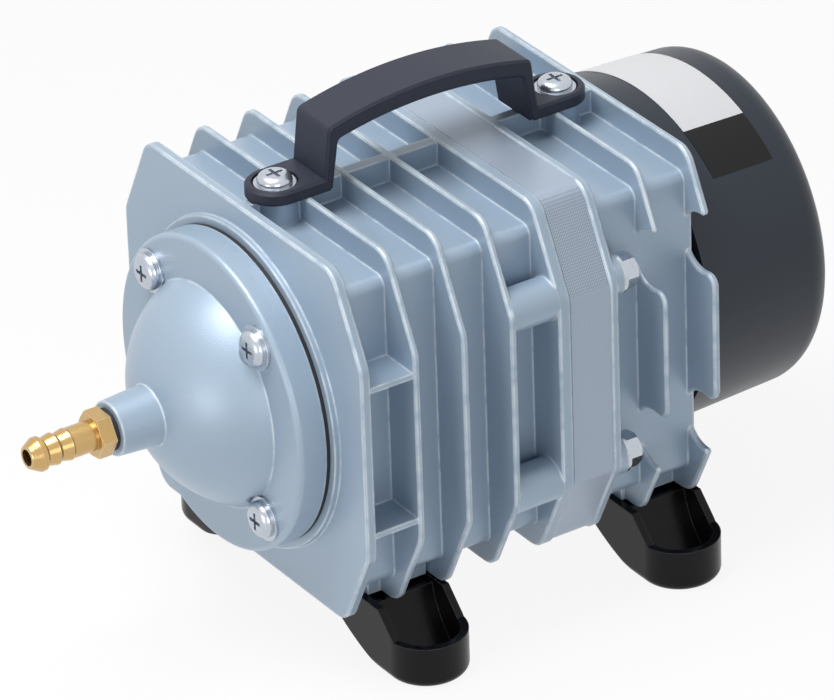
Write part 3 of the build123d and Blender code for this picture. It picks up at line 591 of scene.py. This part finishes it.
FOAM = Foam("filter_foam", (0.022, 0.022, 0.024), 0.9, grain_depth=0.5 * MM)
GLAND = Finish("black_moulding", (0.012, 0.012, 0.014), 0.45)
GRIP = Finish(
    "charcoal_grip",
    (0.022, 0.026, 0.042),
    0.5,
    grain=0.6 * MM,
    grain_depth=0.08 * MM,
    variation=0.2,
    gloss=0.3,
    edge_colour=(0.004, 0.004, 0.010),
    edge_width=1.1 * MM,
    edge_gain=8.0,
    edge_wear_and_highlight_spread=0.5,
)
RUBBER = Finish(
    "black_rubber",
    (0.002, 0.002, 0.003),
    0.24,
    grain=0.9 * MM,
    grain_depth=0.02 * MM,
    gloss=0.2,
    # grey edges: painted edge highlights on the black rubber
    edge_colour=(0.10, 0.10, 0.11),
    edge_width=0.4 * MM,
    softened=0.4 * MM,
)
LABEL_PALE = Finish("label_pale", (0.66, 0.67, 0.69), 0.38, grain_depth=0.004 * MM, variation=0.03)
LABEL_DARK = Finish("label_dark", (0.004, 0.004, 0.005), 0.32, grain_depth=0.004 * MM, gloss=0.3)


@dataclass
class SubAssembly:
    """A group of the pump's pieces that are dressed together."""

    title: str
    shared: dict[str, bpy.types.Material] = field(default_factory=dict)
    nodes: dict[str, bpy.types.Object] = field(default_factory=dict)

    def finishes(self) -> dict[str, Finish]:
        """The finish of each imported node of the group."""
        return {}

    def material(self, finish: Finish) -> bpy.types.Material:
        """Builds a finish, or finds it again.

        Args:
            finish: The finish.

        Returns:
            Its material.
        """
        if finish.name not in self.shared:
            self.shared[finish.name] = finish.build()
        return self.shared[finish.name]

    def dress(self, nodes: dict[str, bpy.types.Object]) -> None:
        """Gives each node of the group its finish.

        Args:
            nodes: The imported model's objects by name.
        """
        self.nodes = nodes
        for name, finish in self.finishes().items():
            for place in nodes[name].material_slots:
                place.material = self.material(finish)
            LOG.info("%s: %s is %s", self.title, name, finish.name)

    def build(self) -> None:
        """Makes the pieces that only the picture has. Most groups have none."""


@dataclass
class Castings(SubAssembly):
    """The two ribbed housings."""

    title: str = "castings"

    def finishes(self) -> dict[str, Finish]:
        """Both housings are die castings."""
        return {"front_housing": CASTING, "rear_housing": CASTING}


@dataclass
class OutletEnd(SubAssembly):
    """The domed cover, its hose barb, and the discharge valve behind it."""

    title: str = "outlet end"

    def finishes(self) -> dict[str, Finish]:
        """The cover is cast, the barb brass, and the valve parts steel."""
        steel = ("valve_plate", "discharge_valve", "discharge_stop")
        return {
            "outlet_cover": CASTING,
            "outlet_barb": BRASS,
            "cover_gasket": SEAL,
            "barb_seal": SEAL,
            "valve_plate_screws": ZINC,
            **{name: STEEL for name in steel},
        }


@dataclass
class Cylinder(SubAssembly):
    """The liner, the piston and its rod."""

    title: str = "cylinder"

    def finishes(self) -> dict[str, Finish]:
        """Machined pieces, each in its own metal."""
        steel = ("cylinder_liner", "intake_valve", "intake_stop", "piston_rod")
        return {
            "piston": PISTON_ALLOY,
            "piston_ring": SLIDE_RING,
            "rod_bush": BRONZE,
            **{name: STEEL for name in steel},
        }


@dataclass
class Magnet(SubAssembly):
    """The stator with its two windings, and the armature with its spring."""

    title: str = "magnet"

    def finishes(self) -> dict[str, Finish]:
        """Sheet steel, wire, mouldings and the spring parts."""
        steel = ("spring_cup", "spring_seat", "return_spring")
        windings = {f"{place}_winding": COPPER for place in ("upper", "lower")}
        bobbins = {f"{place}_bobbin": BOBBIN for place in ("upper", "lower")}
        return {
            "stator_core": SHEETS,
            "armature": IRON,
            "armature_nuts": ZINC,
            **{name: STEEL for name in steel},
            **windings,
            **bobbins,
        }

    def build(self) -> None:
        """Shows the spring by a copy of its mesh in the steel finish, and hides the imported
        spring.
        """
        data = self.nodes["return_spring"].data.copy()
        data.materials.clear()
        data.materials.append(self.material(STEEL))
        piece = bpy.data.objects.new("coil_spring", data)
        bpy.context.scene.collection.objects.link(piece)
        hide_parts("return_spring")
        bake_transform(piece)
        LOG.info("%s: the spring bends between its seat and its cup", self.title)


@dataclass
class RearEnd(SubAssembly):
    """The rear cap with its filter and its bare two-tone label."""

    title: str = "rear end"
    rim_station: float = 119.2
    rim_radius: float = 50.6
    draft: float = 1.3
    draft_length: float = 36.2
    label_low: float = 131.6
    label_high: float = 151.9
    dark_start: float = 44.4
    dark_end: float = 62.4
    pale_end: float = 121.0
    skew: float = 0.055
    label_gap: float = 0.02
    label_thickness: float = 0.12
    steps: int = 40

    def finishes(self) -> dict[str, Finish]:
        """The cap, its post, the filter and the cable gland."""
        return {"rear_cap": CAP, "cap_post": ZINC, "air_filter": FOAM, "cable_gland": GLAND}

    def on_cap(self, angle: float, station: float, lift: float) -> Point:
        """A point on the cap's wall.

        Args:
            angle: Degrees from the side towards the top.
            station: Millimetres along the pump axis.
            lift: Millimetres above the wall.

        Returns:
            The point in metres.
        """
        radius = self.rim_radius - self.draft * (station - self.rim_station) / self.draft_length
        radius += lift
        turn = math.radians(angle)
        x = radius * math.cos(turn)
        z = radius * math.sin(turn) + AXIS_HEIGHT
        return (x * MM, (station - ORIGIN_STATION) * MM, z * MM)

    def label(self, name: str, start: float, end: float, finish: Finish) -> None:
        """Lays one field of the label on the cap.

        Args:
            name: The piece's name.
            start: The angle where the field starts.
            end: The angle where it ends.
            finish: Its finish.
        """
        mesh = bmesh.new()
        rows = []
        for i in range(self.steps + 1):
            angle = start + (end - start) * i / self.steps
            shift = -self.skew * (angle - self.dark_start)
            stations = (self.label_low + shift, self.label_high + shift)
            lifts = (self.label_gap, self.label_gap + self.label_thickness)
            rows.append([mesh.verts.new(self.on_cap(angle, s, h)) for h in lifts for s in stations])
        for first, second in zip(rows, rows[1:]):
            for a, b in ((0, 1), (1, 3), (3, 2), (2, 0)):
                mesh.faces.new((first[a], first[b], second[b], second[a]))
        for row in (rows[0], rows[-1]):
            mesh.faces.new([row[i] for i in (0, 1, 3, 2)])
        bmesh.ops.recalc_face_normals(mesh, faces=mesh.faces)
        data = bpy.data.meshes.new(name)
        mesh.to_mesh(data)
        mesh.free()
        data.materials.append(self.material(finish))
        piece = bpy.data.objects.new(name, data)
        bpy.context.scene.collection.objects.link(piece)
        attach(piece, Body.PUMP.value)
        LOG.info("%s: %s laid on the cap", self.title, name)

    def build(self) -> None:
        """Lays both fields of the label."""
        self.label("label_dark_field", self.dark_start, self.dark_end, LABEL_DARK)
        self.label("label_pale_field", self.dark_end, self.pale_end, LABEL_PALE)


@dataclass
class CarryingHandle(SubAssembly):
    """The strap handle on top."""

    title: str = "carrying handle"

    def finishes(self) -> dict[str, Finish]:
        """One moulding."""
        return {"handle": GRIP}


@dataclass
class Feet(SubAssembly):
    """The four rubber feet."""

    title: str = "feet"

    def finishes(self) -> dict[str, Finish]:
        """All four are alike."""
        ends, sides = ("front", "rear"), ("right", "left")
        return {f"{end}_{side}_foot": RUBBER for end in ends for side in sides}


@dataclass
class Fasteners(SubAssembly):
    """The screws, bolts and washers on the outside."""

    title: str = "fasteners"

    def finishes(self) -> dict[str, Finish]:
        """All are zinc plated."""
        washers = [f"{place}_washers" for place in ("cover", "tie", "handle", "foot")]
        screws = ["cover_screws", "tie_bolts", "handle_screws", "foot_screws", "cap_screw"]
        return {name: ZINC for name in washers + screws}


@dataclass
class Lamp:
    """A soft square lamp that points at the pump and isn't in the picture itself."""

    name: str
    place: Point
    size: float
    power: float
    colour: Colour = (1.0, 1.0, 1.0)

    def build(self, target: Point) -> None:
        """Sets up the lamp.

        Args:
            target: The point that it faces.
        """
        data = bpy.data.lights.new(self.name, "AREA")
        data.shape = "SQUARE"
        data.size = self.size
        data.energy = self.power
        data.color = self.colour
        lamp = bpy.data.objects.new(self.name, data)
        lamp.location = self.place
        away = Vector(self.place) - Vector(target)
        lamp.rotation_euler = away.to_track_quat("Z", "Y").to_euler()
        lamp.visible_camera = False
        bpy.context.scene.collection.objects.link(lamp)


@dataclass
class Studio:
    """The floor, the soft lamps, the white surroundings and the camera."""

    azimuth: float = 57.1763
    elevation: float = 29.5560
    roll: float = -1.9980
    camera_place: Point = (1.562943, -0.999175, 1.119162)
    focal_length: float = 334.585
    sensor: float = 36.0
    target: Point = (0.0, 0.0, 0.07)
    ambient: float = 0.22
    floor_white: float = 0.9
    lamps: tuple[Lamp, ...] = (
        Lamp("lamp_top", (-0.04, -0.2, 0.72), 0.4, 4.8),
        Lamp("lamp_outlet_end", (0.25, -1.0, 0.12), 0.35, 1.9),
        Lamp("lamp_side", (1.1, -0.35, 0.35), 0.5, 2.6),
    )

    def floor(self) -> None:
        """Lays the pale floor, nearly white to the camera but with the pump's shadow."""
        mesh = bpy.data.meshes.new("floor")
        half = 6.0
        corners = [(-half, -half, 0), (half, -half, 0), (half, half, 0), (-half, half, 0)]
        mesh.from_pydata(corners, [], [(0, 1, 2, 3)])
        surface = Surface("pale_floor")
        pale = surface.mix(surface.noise(0.6, 2.0), (0.86, 0.86, 0.86), (0.9, 0.9, 0.9))
        surface.finish(Base_Color=pale, Roughness=0.9)
        white = surface.add("ShaderNodeEmission", None, {"Strength": 1.0})
        plain = Signal(surface, surface.shader.outputs[0])
        share = surface.background_rays() * self.floor_white
        both = surface.add("ShaderNodeMixShader", None, {0: share, 1: plain, 2: white})
        surface.feed(surface.output.inputs["Surface"], both)
        mesh.materials.append(surface.material)
        floor = bpy.data.objects.new("floor", mesh)
        bpy.context.scene.collection.objects.link(floor)

    def surroundings(self) -> None:
        """Makes the world white as a background and in reflections, and dimmer as a light."""
        world = bpy.data.worlds.new("studio")
        bpy.context.scene.world = world
        world.use_nodes = True
        sky = Graph(world.node_tree)
        strength = sky.background_rays() * (1.0 - self.ambient) + self.ambient
        shader = world.node_tree.nodes["Background"]
        sky.feed(shader.inputs["Color"], (1.0, 1.0, 1.0))
        sky.feed(shader.inputs["Strength"], strength)

    def camera(self) -> None:
        """Puts the camera at the photograph's place and angle."""
        turn, rise, roll = (math.radians(a) for a in (self.azimuth, self.elevation, self.roll))
        right = Vector((math.cos(turn), math.sin(turn), 0.0))
        back = Vector(
            (math.sin(turn) * math.cos(rise), -math.cos(turn) * math.cos(rise), math.sin(rise))
        )
        up = back.cross(right)
        rolled_right = right * math.cos(roll) + up * math.sin(roll)
        rolled_up = up * math.cos(roll) - right * math.sin(roll)
        data = bpy.data.cameras.new("camera")
        data.sensor_fit = "HORIZONTAL"
        data.sensor_width = self.sensor
        data.lens = self.focal_length
        data.clip_end = 50.0
        camera = bpy.data.objects.new("camera", data)
        camera.matrix_world = Matrix.Translation(self.camera_place) @ Matrix(
            (rolled_right, rolled_up, back)
        ).transposed().to_4x4()
        bpy.context.scene.collection.objects.link(camera)
        bpy.context.scene.camera = camera

    def build(self) -> None:
        """Sets up the whole studio."""
        bpy.context.scene.view_settings.view_transform = "Standard"
        self.floor()
        self.surroundings()
        for lamp in self.lamps:
            lamp.build(self.target)
        self.camera()
        LOG.info("studio ready")


def sub_assemblies() -> list[SubAssembly]:
    """The pump's groups, from the outlet to the feet.

    Returns:
        The groups, sharing one set of materials.
    """
    kinds = (Castings, OutletEnd, Cylinder, Magnet, RearEnd, CarryingHandle, Feet, Fasteners)
    shared: dict[str, bpy.types.Material] = {}
    return [kind(shared=shared) for kind in kinds]


def main() -> None:
    """Dresses the pump and sets up the studio."""
    logging.basicConfig(level=logging.INFO, format="%(name)s %(message)s")
    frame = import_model()
    for group in sub_assemblies():
        group.dress(frame["nodes"])
        group.build()
    Studio().build()


if __name__ == "__main__":
    main()
